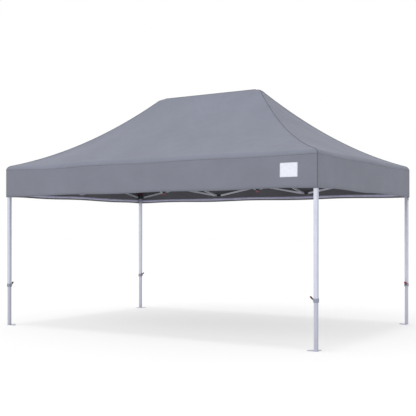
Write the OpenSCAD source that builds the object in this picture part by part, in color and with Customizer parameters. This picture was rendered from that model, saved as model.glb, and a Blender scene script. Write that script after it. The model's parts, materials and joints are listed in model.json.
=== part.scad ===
// Folding canopy tent: four telescopic legs, a scissor truss on every side, two cross trusses
// that carry the ridge masts, and a fabric roof with a valance.
// +Z is up and z = 0 is the ground. X runs along the long side, and the front is at -Y.
// Every scissor bar is alike, so one span and one height set the whole frame.

/* [Plan] */
// Distance from the centre to a leg's axis along the long side
leg_x = 2270; // [1600:10:3000]
// Distance from the centre to a leg's axis along the short side
leg_y = 1482; // [1100:10:1900]
// How far a scissor pivot stands from the leg's axis
leg_reach = 58; // [56:1:80]

/* [Heights] */
// Height of the upper row of pivots
upper_z = 2085; // [1800:5:2300]
// Height between the two rows of pivots with the tent open
truss_h = 255; // [200:5:400]
// Height of the middle of the lock collar
collar_z = 540; // [400:10:700]
// Top of the mast tubes
mast_top = 3115; // [2900:5:3400]

/* [Legs] */
// Width of the square outer leg tube
leg_w = 43; // [36:1:45]
// Wall of both leg tubes
leg_wall = 2; // [1.5:0.1:2.2]
// Width of the square inner leg tube
inner_w = 38; // [30:1:38]
// Length of the inner leg tube
inner_len = 995; // [800:5:1200]
// Thickness of the foot plate
plate_t = 5; // [4:0.5:8]
// How far the foot plate reaches along each side
plate_reach = 100; // [80:5:120]
// Radius of the stake holes
stake_r = 6; // [4:0.5:7]

/* [Scissor bars] */
// Height of a bar's section
bar_h = 25; // [20:1:28]
// Thickness of a bar's section
bar_t = 11; // [9:0.5:12]
// Wall of the hollow bar
bar_wall = 1.5; // [1:0.1:2]
// Radius of the pivot pins
pin_r = 4; // [3:0.1:5]

/* [Masts] */
// Width of the square mast tube
mast_w = 25; // [22:1:25]
// Length of the guide sleeve below the upper pivots
guide_len = 180; // [160:5:190]

/* [Cover] */
// Half of the cover's length
cover_x = 2304; // [1632:1:3032]
// Half of the cover's width
cover_y = 1516; // [1132:1:1932]
// Height of the eave
eave_z = 2121; // [2110:1:2140]
// Height of the roof where the hips leave the corners
hip_z = 2140; // [2130:1:2160]
// Height of the ridge
ridge_z = 3143; // [2950:1:3400]
// Bottom edge of the valance
valance_z = 1735; // [1600:5:1900]
// Thickness of the fabric solids
cloth_t = 1.5; // [1:0.1:3]
// Radius of the cover's upright corners
corner_r = 20; // [20:1:60]
// Width of the sewn patch on the front valance
patch_w = 210; // [100:1:300]
// Height of the sewn patch
patch_h = 155; // [80:1:200]

/* [Hidden] */
$fn = 48;
gap = 0.1;                             // running clearance of pins and of pieces pushed on a tube
span = leg_y - leg_reach;              // one scissor's span, the same all over the frame
lower_z = upper_z - truss_h;
joint_reach = (leg_x - leg_reach - 1.5 * span) / 2;  // pivot to the middle of a truss joint
node_x = span / 2 + joint_reach;       // the truss joints and the masts stand at this X
cross_reach = leg_reach / 2;           // pivot of a cross truss, from the truss joint and the mast
bar_len = sqrt(span * span + truss_h * truss_h);
bar_tilt = atan(truss_h / span);
bar_off = bar_t / 2 + 1;               // the two bars of a scissor lie side by side
cheek_in = bar_t / 2 + 0.5;            // inner face of a fork's cheek, from the bar's middle
cheek_t = 3;
cheek_r = 11;
head_r = 6.5;
head_t = 3;
fork_y = bar_off + cheek_in + cheek_t; // outer face of a fork, from the truss's middle plane
core_w = 11;
core_z = 13;
bracket_w = leg_w + 6;
slider_gap = 0.3;
slider_w = leg_w + 8;
collar_w = leg_w + 7;
collar_h = 43;
outer_low = collar_z - 15;
outer_top = upper_z + 15;
guide_w = mast_w + 6;
lever_z = collar_z + 6;
lever_out = collar_w / 2 + 6;
lever_len = 50;
lever_w = 22;
plug_t = 10;

LONG = ["left", "middle", "right"];
SIDES = ["front", "back"];
ENDS = ["left", "right"];
AB = ["a", "b"];
CORNERS = [for (s = SIDES) for (e = ENDS) str(s, "_", e)];
BARS = concat(
    [for (s = SIDES) for (c = LONG) for (k = AB) str(s, "_bar_", c, "_", k)],
    [for (e = ENDS) for (s = SIDES) for (k = AB) str(e, "_bar_", s, "_", k)],
    [for (e = ENDS) for (s = SIDES) for (k = AB) str("cross_bar_", e, "_", s, "_", k)]
);

function sx(end) = end == "left" ? -1 : 1;
function sy(side) = side == "front" ? -1 : 1;

// A square bar with rounded corners, standing on z0
module post(w, r, z0, z1, d = undef) {
    dd = is_undef(d) ? w : d;
    translate([0, 0, z0]) linear_extrude(z1 - z0) {
        square([w - 2 * r, dd], center = true);
        square([w, dd - 2 * r], center = true);
        for (i = [-1, 1]) for (j = [-1, 1]) translate([i * (w / 2 - r), j * (dd / 2 - r)]) circle(r);
    }
}

module tube(w, wall, r, z0, z1) {
    difference() {
        post(w, r, z0, z1);
        post(w - 2 * wall, max(r - wall, 0.5), z0 - 1, z1 + 1);
    }
}

// A fork that holds one bar end: it reaches along +x from the distance base to the pivot, and
// its bar lies at the offset off along y
module fork(base, reach, off) {
    for (s = [-1, 1]) {
        y = off + s * (cheek_in + cheek_t / 2);
        translate([base, y - cheek_t / 2, -cheek_r]) cube([reach - base, cheek_t, 2 * cheek_r]);
        translate([reach, y, 0]) rotate([90, 0, 0]) cylinder(r = cheek_r, h = cheek_t, center = true);
    }
    out = off > 0 ? 1 : -1;
    translate([reach, off, 0]) rotate([90, 0, 0])
        cylinder(r = pin_r, h = 2 * (cheek_in + cheek_t) - 1, center = true);
    translate([reach, off + out * (cheek_in + cheek_t + head_t / 2 - 0.5), 0]) rotate([90, 0, 0])
        cylinder(r = head_r, h = head_t + 1, center = true);
}

// The two forks of a leg's bracket. Bar a is at the negative offset and bar b at the positive
// one, along +Y on the long sides and along +X on the short sides.
module leg_forks(corner_x, corner_y, upper) {
    off_x = (corner_x < 0) == upper ? -bar_off : bar_off;
    off_y = (corner_y < 0) == upper ? -bar_off : bar_off;
    rotate([0, 0, corner_x < 0 ? 0 : 180])
        fork(leg_w / 2 + 2, leg_reach, corner_x < 0 ? off_x : -off_x);
    rotate([0, 0, corner_y < 0 ? 90 : -90])
        fork(leg_w / 2 + 2, leg_reach, corner_y < 0 ? -off_y : off_y);
}

// Direction in which a corner's lock lever points, in degrees about +Z
function lever_turn(ix, iy) = ix > 0 ? (iy < 0 ? 180 : -90) : (iy > 0 ? 0 : 90);

module outer_leg(ix, iy) {
    color("#b9b7c6") translate([ix * leg_x, iy * leg_y, 0]) {
        difference() {
            tube(leg_w, leg_wall, 3, outer_low, outer_top);
            rotate([0, 0, lever_turn(ix, iy)]) translate([leg_w / 2 - 6, 0, collar_z + 48])
                rotate([0, 90, 0]) cylinder(r = 4, h = 12);
        }
        // top bracket, closed like a cap
        difference() {
            union() {
                post(bracket_w, 4, upper_z - 24, upper_z + 21);
                translate([0, 0, upper_z]) leg_forks(ix, iy, true);
            }
            post(leg_w + 2 * gap, 3 + gap, upper_z - 40, outer_top + gap);
        }
        // lock collar with the lever's two ears and its pin
        difference() {
            union() {
                post(collar_w, 4, collar_z - collar_h / 2, collar_z + collar_h / 2);
                rotate([0, 0, lever_turn(ix, iy)]) translate([0, 0, lever_z]) {
                    for (s = [-1, 1]) {
                        translate([collar_w / 2 - 3, s * (lever_w / 2 + 2) - 1.5, -6])
                            cube([lever_out - collar_w / 2 + 3, 3, 12]);
                        translate([lever_out, s * (lever_w / 2 + 2), 0]) rotate([90, 0, 0])
                            cylinder(r = 6, h = 3, center = true);
                    }
                    translate([lever_out, 0, 0]) rotate([90, 0, 0])
                        cylinder(r = 2, h = lever_w + 5, center = true);
                }
            }
            post(leg_w + 2 * gap, 3 + gap, outer_low - gap, collar_z + collar_h);
            post(inner_w + 1, 3, collar_z - collar_h, outer_low + 1);
        }
    }
}

module inner_leg(ix, iy) {
    color("#cdd2e1") translate([ix * leg_x, iy * leg_y, 0]) {
        tube(inner_w, leg_wall, 3, plate_t - 0.5, plate_t + inner_len);
        // foot plate, flush with the leg's outer faces, with its inner corner cut off
        lip = leg_w / 2;
        difference() {
            scale([-ix, -iy, 1]) linear_extrude(plate_t) polygon([
                [-lip, -lip], [plate_reach, -lip], [plate_reach, lip * 0.9],
                [lip * 0.9, plate_reach], [-lip, plate_reach]
            ]);
            for (p = [[plate_reach - 16, 0], [0, plate_reach - 16]])
                translate([-ix * p[0], -iy * p[1], -1]) cylinder(r = stake_r, h = plate_t + 2);
        }
    }
}

module leg_slider(ix, iy) {
    color("#3c3e46") translate([ix * leg_x, iy * leg_y, lower_z]) {
        difference() {
            union() {
                post(slider_w, 4, -25, 90);
                leg_forks(ix, iy, false);
                for (a = [ix < 0 ? 0 : 180, iy < 0 ? 90 : -90]) rotate([0, 0, a])
                    translate([slider_w / 2 - 1, 0, 60]) rotate([0, 90, 0]) cylinder(r = 8, h = 10);
            }
            post(leg_w + 2 * slider_gap, 3 + slider_gap, -30, 95);
        }
        // the pull pins' knobs
        for (a = [ix < 0 ? 0 : 180, iy < 0 ? 90 : -90]) rotate([0, 0, a])
            translate([slider_w / 2 + 9 + gap, 0, 60]) rotate([0, 90, 0]) cylinder(r = 7, h = 8);
    }
}

module lock_lever(ix, iy) {
    color("#2a2b30") translate([ix * leg_x, iy * leg_y, lever_z]) rotate([0, 0, lever_turn(ix, iy)])
        translate([lever_out, 0, 0]) rotate([0, -45, 0]) difference() {
            union() {
                rotate([90, 0, 0]) cylinder(r = 4.5, h = lever_w, center = true);
                translate([0, -lever_w / 2, -3.5]) cube([lever_len, lever_w, 7]);
            }
            rotate([90, 0, 0]) cylinder(r = 2 + gap, h = lever_w + 2, center = true);
        }
}

// A truss joint: a core with one fork to each side and one inwards to the cross truss
module truss_joint(ex, iy, upper) {
    color("#4a4c55") translate([ex * node_x, iy * leg_y, upper ? upper_z : lower_z]) {
        translate([-core_w / 2, -fork_y, -core_z]) cube([core_w, 2 * fork_y, 2 * core_z]);
        left = upper ? bar_off : -bar_off;
        rotate([0, 0, 180]) fork(core_w / 2 - 1, joint_reach, -left);
        fork(core_w / 2 - 1, joint_reach, -left);
        // back plate of the inward fork
        translate([-fork_y, iy < 0 ? fork_y - cheek_t : -fork_y, -cheek_r])
            cube([2 * fork_y, cheek_t, 2 * cheek_r]);
        inward = (iy < 0) == upper ? -bar_off : bar_off;
        rotate([0, 0, iy < 0 ? 90 : -90])
            fork(fork_y - 1, cross_reach, iy < 0 ? -inward : inward);
    }
}

// The mast's two forks: bar b comes in from the front at the top, bar a at the bottom
module mast_forks(upper) {
    front = upper ? bar_off : -bar_off;
    rotate([0, 0, -90]) fork(mast_w / 2 + 1, cross_reach, front);
    rotate([0, 0, 90]) fork(mast_w / 2 + 1, cross_reach, front);
}

module mast(ex) {
    color("#b9b7c6") translate([ex * node_x, 0, 0]) {
        tube(mast_w, 1.5, 2.5, lower_z - 30, mast_top);
        // end plug, no wider than the tube, so that it can follow the mast into the guide
        post(mast_w - 1, 2, mast_top + gap, mast_top + plug_t);
        post(mast_w - 3 - 2 * gap, 1, mast_top - 20, mast_top + plug_t / 2);
        // lower hub
        difference() {
            union() {
                post(guide_w, 3, lower_z - 24, lower_z + 18);
                translate([0, 0, lower_z]) mast_forks(false);
            }
            post(mast_w + 2 * gap, 2.5 + gap, lower_z - 40, lower_z + 40);
        }
        // foot plug under the hub
        post(mast_w + 3, 3, lower_z - 42, lower_z - 30 - gap);
    }
}

module mast_guide(ex) {
    color("#4a4c55") translate([ex * node_x, 0, 0]) difference() {
        union() {
            post(mast_w + 5, 3, upper_z - guide_len, upper_z - 13);
            post(guide_w, 3, upper_z - core_z, upper_z + 16);
            translate([0, 0, upper_z]) mast_forks(true);
        }
        post(mast_w + 2 * slider_gap, 2.5 + slider_gap, upper_z - guide_len - 1, upper_z + 40);
    }
}

// A hollow bar along x from pivot to pivot, with rounded solid ends, its middle plane at y = 0
module bar_body() {
    difference() {
        union() {
            translate([0, -bar_t / 2, -bar_h / 2]) cube([bar_len, bar_t, bar_h]);
            for (x = [0, bar_len]) translate([x, 0, 0]) rotate([90, 0, 0])
                cylinder(r = bar_h / 2, h = bar_t, center = true);
        }
        for (x = [20, bar_len / 2 + 14])
            translate([x, bar_wall - bar_t / 2, bar_wall - bar_h / 2])
                cube([bar_len / 2 - 34, bar_t - 2 * bar_wall, bar_h - 2 * bar_wall]);
    }
}

module pivot_bore(x) {
    translate([x, 0, 0]) rotate([90, 0, 0]) cylinder(r = pin_r + gap, h = bar_t + 2, center = true);
}

// The pin that a bar carries for its neighbour, which lies on its +y side
module pivot_pin(x) {
    translate([x, bar_off, 0]) rotate([90, 0, 0]) {
        translate([0, 0, -bar_off - bar_t / 2 - head_t + 0.5]) cylinder(r = head_r, h = head_t - 0.7);
        translate([0, 0, -bar_off - bar_t / 2 - 0.5]) cylinder(r = pin_r, h = 2 * bar_off + bar_t);
        translate([0, 0, bar_off - 0.8]) cylinder(r = 9, h = 1.6);
    }
    translate([x, -bar_t / 2, 0]) rotate([90, 0, 0]) cylinder(r = head_r, h = head_t - 0.5);
}

// Bar a falls from the upper pivot at the low end of its scissor to the lower pivot at the high
// end, and carries the middle pin. Bar b rises and is bored for it. end_pin is the end of bar a
// that is bolted straight to the next scissor: 0 for none, 1 for its upper end, 2 for its lower.
module bar(kind, end_pin) {
    off = kind == "a" ? -bar_off : bar_off;
    color("#c3c4d0")
    translate([0, off, kind == "a" ? upper_z : lower_z])
        rotate([0, kind == "a" ? bar_tilt : -bar_tilt, 0]) {
            difference() {
                bar_body();
                if (kind == "b" || end_pin != 1) pivot_bore(0);
                if (kind == "b" || end_pin != 2) pivot_bore(bar_len);
                if (kind == "b") pivot_bore(bar_len / 2);
            }
            if (kind == "a") {
                pivot_pin(bar_len / 2);
                if (end_pin == 1) pivot_pin(0);
                if (end_pin == 2) pivot_pin(bar_len);
            }
        }
}

// Scissors along X start at x and lie in the plane y; scissors along Y start at y in the plane x.
// Turned to run along +Y, a bar's offset would point along -X, so it is mirrored back.
module bar_along_x(x, y, kind) { translate([x, y, 0]) bar(kind, 0); }
module bar_along_y(x, y, kind, end_pin) {
    translate([x, y, 0]) mirror([1, -1, 0]) bar(kind, end_pin);
}

// Outline of a rectangle with rounded corners, as points counted anticlockwise from the right,
// with n points along each straight side and m steps round each corner
function side_points(p, q, n) = [for (i = [0 : n - 1]) p + (q - p) * i / n];
function arc_points(c, r, a, m) = [for (i = [0 : m - 1]) c + r * [cos(a + 90 * i / m), sin(a + 90 * i / m)]];
function outline(hx, hy, r, n, m) = concat(
    side_points([hx, r - hy], [hx, hy - r], n), arc_points([hx - r, hy - r], r, 0, m),
    side_points([hx - r, hy], [r - hx, hy], n), arc_points([r - hx, hy - r], r, 90, m),
    side_points([-hx, hy - r], [-hx, r - hy], n), arc_points([r - hx, r - hy], r, 180, m),
    side_points([r - hx, -hy], [hx - r, -hy], n), arc_points([hx - r, r - hy], r, 270, m)
);

// Height of the roof at the share s of the way from the eave to the ridge. The hips hang in a
// curve, and the middle of each face is pulled straighter.
hip_rise = 0.43 / 1.01;
function roof_z(p) =
    let (a = (cover_x - abs(p[0])) / (cover_x - node_x), b = (cover_y - abs(p[1])) / cover_y,
         s = min(a, b, 1), off = min(abs(a - b), 1),
         drop = (hip_z - eave_z) * pow(max(0, 1 - s / 0.03), 2))
    hip_z + (ridge_z - hip_z) * (hip_rise * s + (1 - hip_rise) * s * s
        + 0.25 * s * (1 - s) * (1 - exp(-off * off / 0.12))) - drop;

// The roof is a closed shell: rings from the eave to the ridge, on its top and on its underside
SIDE_N = 10;
CORNER_N = 3;
RING_N = 4 * (SIDE_N + CORNER_N);
LEVELS = [0, 0.006, 0.015, 0.03, 0.1, 0.2, 0.3, 0.4, 0.5, 0.6, 0.7, 0.8, 0.88, 0.94, 0.975, 0.993];
function ring_at(s, down, inset) = [
    for (p = outline(cover_x - inset - s * (cover_x - node_x), (cover_y - inset) * (1 - s),
                     corner_r * (1 - s) + 6 * s, SIDE_N, CORNER_N))
    [p[0], p[1], roof_z(p) - down]
];
function ring_faces(a, b, flip) = [
    for (i = [0 : RING_N - 1]) for (t = [0, 1])
    let (j = (i + 1) % RING_N, q = t == 0 ? [a + i, b + j, a + j] : [a + i, b + i, b + j])
    flip ? [q[2], q[1], q[0]] : q
];

module canopy_roof() {
    n = len(LEVELS);
    top = [for (s = LEVELS) each ring_at(s, 0, 0)];
    under = [for (s = LEVELS) each ring_at(s, cloth_t, s == 0 ? cloth_t : 0)];
    peak = 2 * n * RING_N;             // the ridge's two middle points, on top and underneath
    color("#8f939e") polyhedron(concat(top, under, [[0, 0, ridge_z], [0, 0, ridge_z - cloth_t]]), concat(
        [for (k = [0 : n - 2]) each ring_faces(k * RING_N, (k + 1) * RING_N, false)],
        [for (k = [0 : n - 2]) each ring_faces((n + k) * RING_N, (n + k + 1) * RING_N, true)],
        ring_faces(0, n * RING_N, true),
        [for (i = [0 : RING_N - 1]) [(n - 1) * RING_N + (i + 1) % RING_N, (n - 1) * RING_N + i, peak]],
        [for (i = [0 : RING_N - 1])
            [(2 * n - 1) * RING_N + i, (2 * n - 1) * RING_N + (i + 1) % RING_N, peak + 1]]
    ));
}

module canopy_valance() {
    color("#7d808d") difference() {
        post(2 * cover_x, corner_r, valance_z, eave_z - cloth_t - 0.5, 2 * cover_y);
        post(2 * (cover_x - cloth_t), corner_r - cloth_t, valance_z - 1, eave_z, 2 * (cover_y - cloth_t));
    }
}

module sewn_patch() {
    color("#f2f2f2") translate([1964 - patch_w / 2, -cover_y - 1.2, 1939 - patch_h / 2])
        cube([patch_w, 1.1, patch_h]);
}

module corner_strap() {
    color("#8a8c98") translate([cover_x - 6, cover_y - 62, valance_z - 38]) cube([1.5, 20, 90]);
}

for (s = SIDES) for (e = ENDS) {
    name = str(s, "_", e);
    outer_leg(sx(e), sy(s));
    inner_leg(sx(e), sy(s));
    leg_slider(sx(e), sy(s));
    lock_lever(sx(e), sy(s));
    truss_joint(sx(e), sy(s), true);
    truss_joint(sx(e), sy(s), false);
}
for (e = ENDS) {
    mast(sx(e));
    mast_guide(sx(e));
}
for (s = SIDES) for (c = [0 : 2]) for (k = AB) {
    start = [leg_reach - leg_x, -span / 2, node_x + joint_reach][c];
    bar_along_x(start, sy(s) * leg_y, k);
}
for (e = ENDS) for (k = AB) {
    bar_along_y(sx(e) * leg_x, -span, k, 2);
    bar_along_y(sx(e) * leg_x, 0, k, 1);
    bar_along_y(sx(e) * node_x, cross_reach - leg_y, k, 0);
    bar_along_y(sx(e) * node_x, cross_reach, k, 0);
}
canopy_roof();
canopy_valance();
sewn_patch();
corner_strap();
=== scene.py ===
"""Finishes for a folding canopy tent: a fabric cover on a scissor frame with telescopic legs."""

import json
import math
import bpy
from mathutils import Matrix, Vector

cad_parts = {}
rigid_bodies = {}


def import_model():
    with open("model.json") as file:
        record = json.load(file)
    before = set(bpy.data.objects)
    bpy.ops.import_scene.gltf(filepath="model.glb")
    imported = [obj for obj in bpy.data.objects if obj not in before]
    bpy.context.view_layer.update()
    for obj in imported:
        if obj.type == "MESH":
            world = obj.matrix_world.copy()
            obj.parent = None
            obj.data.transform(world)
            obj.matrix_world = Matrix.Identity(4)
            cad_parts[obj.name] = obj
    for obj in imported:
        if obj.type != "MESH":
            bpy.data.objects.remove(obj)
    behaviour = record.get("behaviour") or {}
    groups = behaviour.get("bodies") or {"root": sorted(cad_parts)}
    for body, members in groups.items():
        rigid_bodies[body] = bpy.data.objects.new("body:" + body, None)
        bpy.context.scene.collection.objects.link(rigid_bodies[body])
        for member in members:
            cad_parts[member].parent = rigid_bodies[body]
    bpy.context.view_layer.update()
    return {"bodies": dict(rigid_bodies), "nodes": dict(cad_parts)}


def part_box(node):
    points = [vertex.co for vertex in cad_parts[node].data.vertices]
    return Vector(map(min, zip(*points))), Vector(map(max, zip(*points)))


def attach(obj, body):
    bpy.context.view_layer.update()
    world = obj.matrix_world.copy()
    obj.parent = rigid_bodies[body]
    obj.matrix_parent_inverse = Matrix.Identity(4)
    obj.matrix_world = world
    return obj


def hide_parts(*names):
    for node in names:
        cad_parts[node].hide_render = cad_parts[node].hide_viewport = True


bl_info = {
    "name": "Folding canopy tent",
    "version": (1, 0, 0),
    "blender": (4, 5, 0),
    "location": "3D View > Sidebar > Canopy",
    "description": "Fabric cover, trims, fittings and finishes of a folding canopy tent",
    "category": "Object",
}

import bpy
import bmesh
from mathutils import Matrix, Vector
from mathutils.bvhtree import BVHTree

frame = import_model()

# Plan and heights of the cover. Its half sizes and its hem come from the frame.
COVER_X, COVER_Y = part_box("canopy_roof")[1].xy
HEM_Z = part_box("canopy_valance")[0].z
EAVE_Z = 2.112  # top of the hanging border
HIP_Z, RIDGE_Z = 2.144, 3.143
CORNER_R = 0.020  # rounding of the plan's corners
EAVE_R = 0.048  # rounding of the roof's edge, which laps over the border's top
LEG_X, LEG_Y = 2.270, 1.482
MAST_X, MAST_HALF = 0.750, 0.022
MAST_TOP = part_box("mast_left")[1].z
PEAK_X = MAST_X + 0.034  # the roof runs level this far, over the mast's end

# The folded cover: the frame's columns and rows carry it, and it gathers into pleats between them
COLUMNS = (-LEG_X, -MAST_X, MAST_X, LEG_X)
ROWS = (-LEG_Y, 0.0, LEG_Y)
PLEATS_LONG, PLEATS_SHORT = 12, 8
THROW_LONG, THROW_SHORT = 0.067, 0.043  # share of the far side, which throws a pleat outwards
RIPPLE = 0.05  # how far the roof's pleats rise and dip
LOW_FROM = 2.150  # the roof above this height comes down with the lower joints
DROP_FULL = 1.182  # how far the lower joints come down when the frame is folded
UPPER_BODIES = ("outer_leg_", "upper_joint_", "mast_guide_")
LOWER_BODIES = ("leg_slider_", "lower_joint_", "mast_")

THREAD_PITCH = 0.0011  # of the cloth's weave

# Fittings of the legs: each corner's sides of the plan, and the way its lever points
CORNERS = {"front_left": (-1, -1, 0, 1), "front_right": (1, -1, -1, 0),
           "back_left": (-1, 1, 1, 0), "back_right": (1, 1, 0, -1)}
LEVER_OUT, LEVER_Z, LEVER_LEAN = 0.0310, 0.546, math.radians(45)
BUTTON_OUT, BUTTON_Z = 0.0207, 0.588

# Heights where one finish of a leg, a slider or a mast ends and the next begins
BRACKET_FROM = 2.0605
COLLAR_FROM, COLLAR_TO = 0.518, 0.562
PULL_FROM, PULL_TO, PULL_OUT = 1.878, 1.902, 0.0345
MAST_FOOT_TO, MAST_HUB_TO, MAST_PLUG_FROM = 1.7999, 1.848, 3.1149


# ---------------------------------------------------------------- settings

class CoverSettings(bpy.types.PropertyGroup):
    roof_colour: bpy.props.FloatVectorProperty(
        name="Roof fabric", description="Colour of the roof cloth", subtype="COLOR", size=3,
        min=0, max=1, default=(0.155, 0.163, 0.203))
    valance_colour: bpy.props.FloatVectorProperty(
        name="Valance fabric", description="Colour of the hanging border", subtype="COLOR", size=3,
        min=0, max=1, default=(0.155, 0.162, 0.198))
    lining_colour: bpy.props.FloatVectorProperty(
        name="Coated side", description="Colour of the coated inner side of the cloth", subtype="COLOR",
        size=3, min=0, max=1, default=(0.086, 0.086, 0.099))
    tape_colour: bpy.props.FloatVectorProperty(
        name="Hem tape", description="Colour of the tape inside the hem", subtype="COLOR", size=3,
        min=0, max=1, default=(0.44, 0.44, 0.60))
    piping_colour: bpy.props.FloatVectorProperty(
        name="Piping", description="Colour of the bound seams", subtype="COLOR", size=3,
        min=0, max=1, default=(0.070, 0.074, 0.095))
    cloth_thickness: bpy.props.FloatProperty(
        name="Cloth thickness", description="Thickness of the coated cloth", subtype="DISTANCE",
        unit="LENGTH", min=0.0003, max=0.002, default=0.0009)
    piping_radius: bpy.props.FloatProperty(
        name="Piping radius", description="Radius of the bound seam on hips and corners",
        subtype="DISTANCE", unit="LENGTH", min=0.001, max=0.008, default=0.0042)
    hem_wave: bpy.props.FloatProperty(
        name="Hem wave", description="How far the valance's lower edge waves outwards",
        subtype="DISTANCE", unit="LENGTH", min=0, max=0.03, default=0.011)
    wrinkle: bpy.props.FloatProperty(
        name="Roof wrinkles", description="Height of the soft wrinkles in the roof",
        subtype="DISTANCE", unit="LENGTH", min=0, max=0.02, default=0.0035)
    mesh_step: bpy.props.FloatProperty(
        name="Mesh step", description="Size of the cloth's faces", subtype="DISTANCE",
        unit="LENGTH", min=0.015, max=0.1, default=0.030)


class FrameSettings(bpy.types.PropertyGroup):
    outer_metal: bpy.props.FloatVectorProperty(
        name="Outer legs", description="Colour of the coated outer legs", subtype="COLOR", size=3,
        min=0, max=1, default=(0.40, 0.415, 0.485))
    inner_metal: bpy.props.FloatVectorProperty(
        name="Inner legs", description="Colour of the inner legs and foot plates", subtype="COLOR",
        size=3, min=0, max=1, default=(0.36, 0.37, 0.44))
    bar_metal: bpy.props.FloatVectorProperty(
        name="Truss bars", description="Colour of the scissor bars and masts", subtype="COLOR", size=3,
        min=0, max=1, default=(0.52, 0.53, 0.60))
    dark_plastic: bpy.props.FloatVectorProperty(
        name="Dark plastic", description="Colour of joints, brackets and sliders", subtype="COLOR",
        size=3, min=0, max=1, default=(0.030, 0.033, 0.042))
    collar_plastic: bpy.props.FloatVectorProperty(
        name="Collar plastic", description="Colour of the collars on the outer legs", subtype="COLOR",
        size=3, min=0, max=1, default=(0.19, 0.205, 0.26))
    red_plastic: bpy.props.FloatVectorProperty(
        name="Red plastic", description="Colour of pulls, lever tips and mast ends", subtype="COLOR",
        size=3, min=0, max=1, default=(0.32, 0.006, 0.012))
    button_radius: bpy.props.FloatProperty(
        name="Snap button radius", description="Radius of the button that locks a leg's height",
        subtype="DISTANCE", unit="LENGTH", min=0.002, max=0.006, default=0.0037)


class StageSettings(bpy.types.PropertyGroup):
    floor_colour: bpy.props.FloatVectorProperty(
        name="Floor", description="Colour of the floor", subtype="COLOR", size=3,
        min=0, max=1, default=(0.36, 0.36, 0.36))
    key_strength: bpy.props.FloatProperty(
        name="Key light", description="Strength of the soft light from above", min=0, max=20, default=0.75)
    front_strength: bpy.props.FloatProperty(
        name="Front light", description="Strength of the soft light from the front left", min=0, max=20,
        default=1.4)
    side_strength: bpy.props.FloatProperty(
        name="Side light", description="Strength of the low light from the right", min=0, max=20,
        default=0.6)
    floor_glow: bpy.props.FloatProperty(
        name="Floor glow", description="How far the floor's shadow is lifted", min=0, max=1, default=0.50)
    fill_strength: bpy.props.FloatProperty(
        name="Fill light", description="Brightness of the surroundings", min=0, max=5, default=1.0)


# ---------------------------------------------------------------- shapes

def edge_distance(x, y):
    """How far a point of the plan lies inside the cover's rounded outline."""
    dx, dy = COVER_X - abs(x), COVER_Y - abs(y)
    if dx < CORNER_R and dy < CORNER_R:
        return CORNER_R - math.hypot(CORNER_R - dx, CORNER_R - dy)
    return min(dx, dy)


def eave_sag(x, y):
    """How far the eave hangs between the points that hold it up, dying away towards the ridge."""
    def bays(v, ends, depths):
        for (a, b), depth in zip(ends, depths):
            if a <= v <= b:
                return depth * math.sin(math.pi * (v - a) / (b - a)) ** 2
        return 0.0
    long_side = bays(x, ((-LEG_X, -MAST_X), (-MAST_X, MAST_X), (MAST_X, LEG_X)), (0.017, 0.010, 0.008))
    short_side = bays(y, ((-LEG_Y, 0.0), (0.0, LEG_Y)), (0.009, 0.009))
    near_long = max(0.0, 1 - (COVER_Y - abs(y)) / 0.30) ** 2
    near_short = max(0.0, 1 - (COVER_X - abs(x)) / 0.30) ** 2
    return max(long_side * near_long, short_side * near_short)


def roof_height(x, y):
    """Height of the roof above a point of the plan: hips that hang in a curve, faces pulled straighter."""
    a = (COVER_X - abs(x)) / (COVER_X - PEAK_X)
    b = (COVER_Y - abs(y)) / COVER_Y
    s = max(0.0, min(a, b, 1.0))
    off = min(abs(a - b), 1.0)
    hip_rise = 0.43 / 1.01
    rise = hip_rise * s + (1 - hip_rise) * s * s
    rise += 0.25 * s * (1 - s) * (1 - math.exp(-off * off / 0.12))
    inside = min(1.0, max(0.0, edge_distance(x, y)) / EAVE_R)
    drop = EAVE_R * (1 - math.sqrt(max(0.0, 1 - (1 - inside) ** 2)))
    return HIP_Z + (RIDGE_Z - HIP_Z) * rise - drop - eave_sag(x, y)


def roof_wrinkle(x, y):
    """Soft tension wrinkles, running out from the ridge and dying away at seams and eaves."""
    a = (COVER_X - abs(x)) / (COVER_X - PEAK_X)
    b = (COVER_Y - abs(y)) / COVER_Y
    s = max(0.0, min(a, b, 1.0))
    off = min(abs(a - b), 1.0)
    fade = s * (1 - s) * 4 * (1 - math.exp(-off * 6))
    long_wave = math.sin(5.1 * x + 2.4 * math.sin(2.3 * y + 0.6)) * math.sin(3.7 * y - 1.1 * x)
    short_wave = 0.35 * math.sin(17.0 * x + 9.0 * y + 1.5 * math.sin(4.0 * x)) * s * s
    across = 0.40 * math.sin(34.0 * abs(y) + 2.0 * math.sin(2.9 * x)) * s ** 3
    return fade * (long_wave + short_wave + across)


def wave(t, count):
    """A bump for each of count pleats as t goes from 0 to 1, and nothing at either end."""
    t = min(max(t, 0.0), 1.0)
    return 0.5 - 0.5 * math.cos(2 * math.pi * count * t)


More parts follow.
